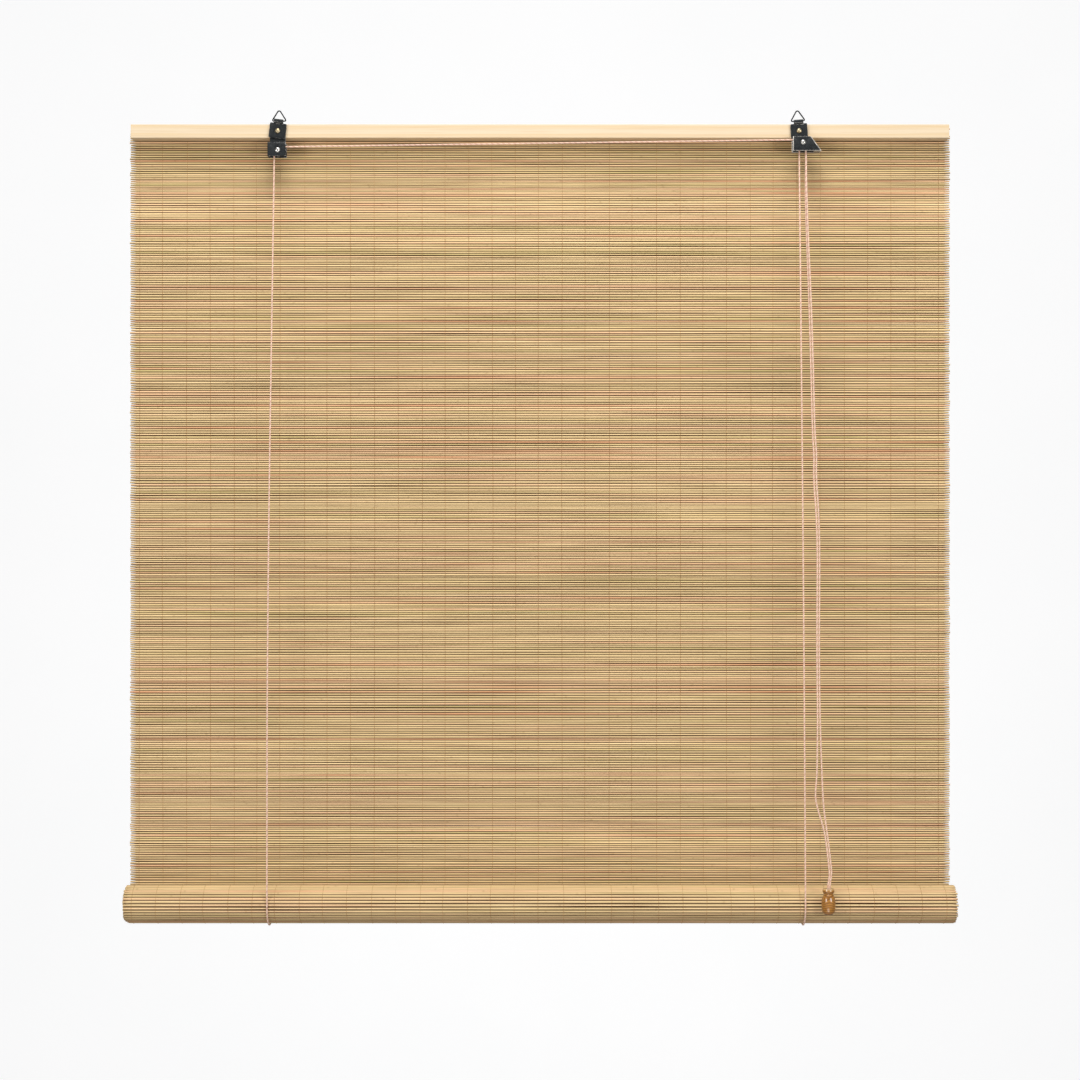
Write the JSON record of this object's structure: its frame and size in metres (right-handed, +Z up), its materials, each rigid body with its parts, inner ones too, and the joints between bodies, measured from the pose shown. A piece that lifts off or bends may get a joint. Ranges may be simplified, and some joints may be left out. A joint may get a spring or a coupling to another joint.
{
  "type": "bamboo roll up blind",
  "caption": "Woven split-bamboo blind on a pine headrail, rolled up from the bottom by cords that run over a pulley and through a cord lock to a turned wooden pull.",
  "frame": {"origin": "on the blind's middle line, level with the hook seats of the two hanging rings and in the rings' plane", "axes": "+X along the headrail to the right seen from the room, +Y towards the wall or window behind, +Z up"},
  "size_m": [0.9, 0.0623, 0.8862],
  "materials": {
    "bamboo_mat": "split bamboo, satin, uneven",
    "pine": "planed pale pine, unvarnished",
    "black_plate": "black, worn bright at the edges",
    "black_wire": "black wire",
    "brass": "dull",
    "nickel": "bright rivet",
    "steel": "galvanised wire",
    "pulley_plastic": "moulded",
    "cord": "twisted cord, pinkish beige",
    "turned_wood": "turned, glossy golden brown varnish"
  },
  "bodies": {
    "headrail": {"headrail": "pine", "hanging_mat": "bamboo_mat", "header_staples": "steel", "left_hanger_strap": "black_plate", "right_hanger_strap": "black_plate", "left_rail_screw": "brass", "right_rail_screw": "brass", "left_pulley_housing": "black_plate", "lock_housing": "black_plate", "left_pulley_rivet": "nickel", "lock_rivet": "nickel", "cross_cord": "cord", "right_cord_turn": "cord", "left_lift_cord_front": "cord", "right_lift_cord_front": "cord", "left_lift_cord_back": "cord", "right_lift_cord_back": "cord", "left_cord_staple": "steel", "right_cord_staple": "steel"},
    "left_ring": {"left_hanging_ring": "black_wire"},
    "right_ring": {"right_hanging_ring": "black_wire"},
    "left_wheel": {"left_pulley": "pulley_plastic"},
    "lock_wheel": {"lock_pulley": "pulley_plastic"},
    "roller": {"lock_roller": "brass"},
    "lift": {"left_cord_sling": "cord", "right_cord_sling": "cord"},
    "roll": {"rolled_mat": "bamboo_mat", "bottom_rod": "pine", "rod_staples": "steel"},
    "pull": {"pull_knob": "turned_wood", "pull_cord_knot": "cord", "pull_cord_left_strand": "cord", "pull_cord_right_strand": "cord"}
  },
  "joints": [
    {"name": "left_ring_swing", "type": "hinge", "parent": "headrail", "child": "left_ring", "pos_m": [-0.2838, 0, -0.0103], "axis": [1, 0, 0], "range_deg": [-90, 120]},
    {"name": "right_ring_swing", "type": "hinge", "parent": "headrail", "child": "right_ring", "pos_m": [0.2807, 0, -0.0103], "axis": [0.9976, 0, 0.0698], "range_deg": [-90, 120]},
    {"name": "left_pulley_spin", "type": "hinge", "parent": "headrail", "child": "left_wheel", "pos_m": [-0.2846, -0.00282, -0.0432], "axis": [0, 1, 0], "continuous": true},
    {"name": "lock_pulley_spin", "type": "hinge", "parent": "headrail", "child": "lock_wheel", "pos_m": [0.2854, -0.00282, -0.0348], "axis": [0, 1, 0], "continuous": true},
    {"name": "lock_roller_slide", "type": "slide", "parent": "headrail", "child": "roller", "axis": [0.5787, 0, -0.8155], "range_m": [0, 0.0066]},
    {"name": "blind_raise", "type": "slide", "parent": "headrail", "child": "lift", "axis": [0, 0, 1], "range_m": [0, 0.77], "deforming": ["hanging_mat", "left_lift_cord_front", "right_lift_cord_front", "left_lift_cord_back", "right_lift_cord_back"]},
    {"name": "roll_turn", "type": "hinge", "parent": "lift", "child": "roll", "pos_m": [0, -0.00182, -0.8612], "axis": [1, 0, 0], "range_deg": [-1800, 0]},
    {"name": "cord_pull", "type": "slide", "parent": "headrail", "child": "pull", "axis": [0, 0, -1], "range_m": [0, 1.54], "deforming": ["pull_cord_left_strand", "pull_cord_right_strand"]}
  ],
  "couplings": [
    {"joint": "roll_turn", "follows": "blind_raise", "rad_per_m": -40.8},
    {"joint": "cord_pull", "follows": "blind_raise", "ratio": 2}
  ]
}
